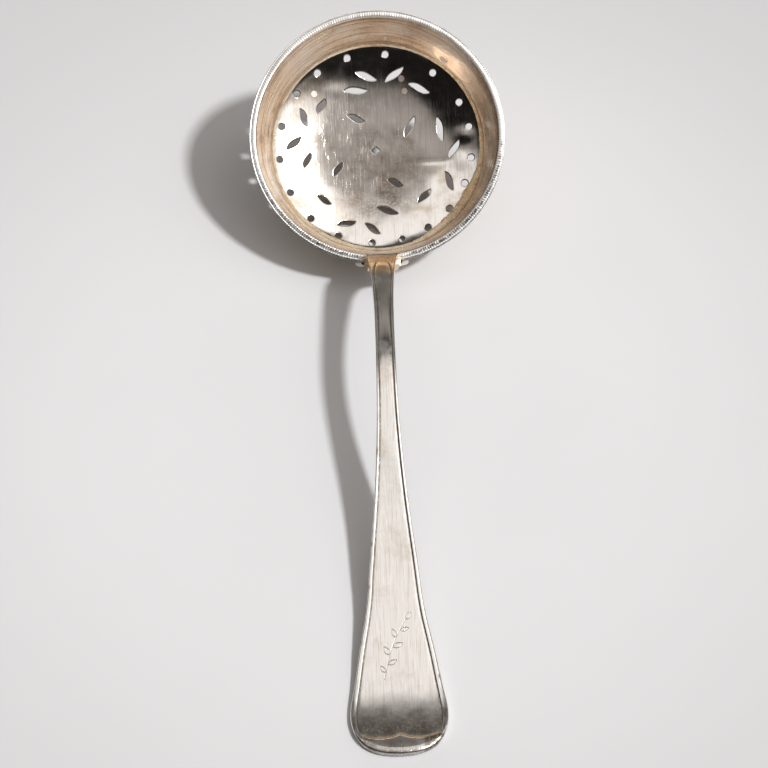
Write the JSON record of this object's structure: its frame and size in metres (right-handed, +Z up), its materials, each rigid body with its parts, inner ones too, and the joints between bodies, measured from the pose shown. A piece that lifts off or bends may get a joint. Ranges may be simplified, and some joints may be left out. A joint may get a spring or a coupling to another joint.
{
  "type": "sugar sifter spoon",
  "caption": "Silver spoon for sifting sugar: a round tapered bowl with a pierced domed floor and a milled lip, and an arched handle with a threaded border.",
  "frame": {"origin": "middle of the spoon's box on the table that it lies on", "axes": "+Z up from the table; the handle points to -Y and the bowl lies at +Y, tipped towards the handle"},
  "size_m": [0.06, 0.1788, 0.0381],
  "materials": {
    "pierced_silver": "silver sheet, softly polished and scratched, with grey tarnish in patches",
    "gilt_band": "silver with worn pinkish gilding, streaked round the bowl",
    "milled_wire": "silver wire milled with fine cross ribs, dark in the grooves",
    "heel_silver": "silver, worn, darker in the corners",
    "handle_silver": "polished silver with fine scratches and warm tarnish",
    "old_solder": "hard silver solder, slightly yellow and grainy"
  },
  "bodies": {
    "root": {"pierced_dome": "pierced_silver", "side_band": "gilt_band", "rim_wire": "milled_wire", "heel_plate": "heel_silver", "handle": "handle_silver", "dome_solder": "old_solder", "rim_solder": "old_solder", "handle_solder": "old_solder"}
  },
  "joints": []
}
